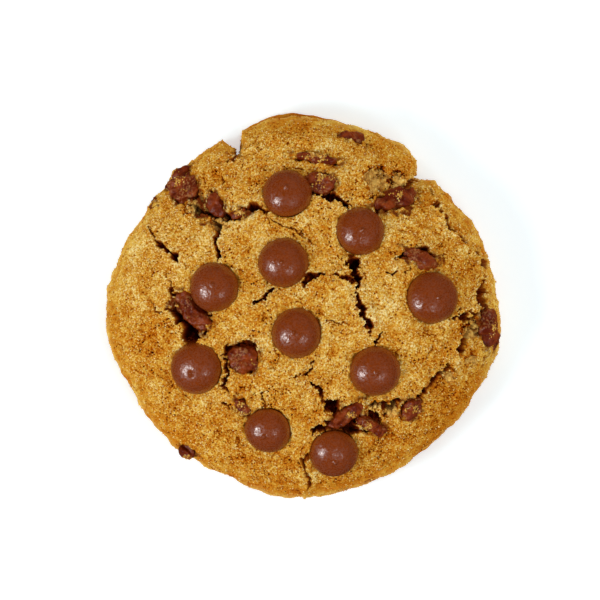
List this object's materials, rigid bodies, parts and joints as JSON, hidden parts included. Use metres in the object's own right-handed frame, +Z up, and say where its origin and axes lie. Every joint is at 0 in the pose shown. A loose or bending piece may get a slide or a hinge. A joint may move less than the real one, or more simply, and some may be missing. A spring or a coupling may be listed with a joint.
{
  "type": "chocolate chip cookie",
  "caption": "Thick round chocolate chip cookie with a domed, cracked golden top, whole chips pressed into it and broken chocolate baked into the cracks.",
  "frame": {"origin": "middle of the flat underside that the cookie rests on", "axes": "+Z up through the domed top, +Y towards the far side of the cookie as it is looked down on, +X to the right"},
  "size_m": [0.0821, 0.0794, 0.025],
  "materials": {
    "baked_dough": "baked brown-sugar dough, dry, sandy and cracked",
    "milk_chocolate": "tempered milk chocolate, satin",
    "baked_chocolate": "broken and half melted chocolate, uneven satin"
  },
  "bodies": {
    "root": {"dough": "baked_dough", "chip_01": "milk_chocolate", "chip_02": "milk_chocolate", "chip_03": "milk_chocolate", "chip_04": "milk_chocolate", "chip_05": "milk_chocolate", "chip_06": "milk_chocolate", "chip_07": "milk_chocolate", "chip_08": "milk_chocolate", "chip_09": "milk_chocolate", "chip_10": "milk_chocolate", "chunk_upper_left": "baked_chocolate", "chunk_upper_left_rim": "baked_chocolate", "chunk_upper_left_inner": "baked_chocolate", "chunk_upper_crack": "baked_chocolate", "chunk_upper_middle": "baked_chocolate", "chunk_upper_sliver": "baked_chocolate", "chunk_far_edge": "baked_chocolate", "chunk_upper_right": "baked_chocolate", "chunk_right_middle": "baked_chocolate", "chunk_right_rim": "baked_chocolate", "chunk_left": "baked_chocolate", "chunk_lower_left": "baked_chocolate", "chunk_lower_crack": "baked_chocolate", "chunk_lower_middle": "baked_chocolate", "chunk_lower_inner": "baked_chocolate", "chunk_lower_right": "baked_chocolate", "chunk_near_rim": "baked_chocolate"}
  },
  "joints": []
}
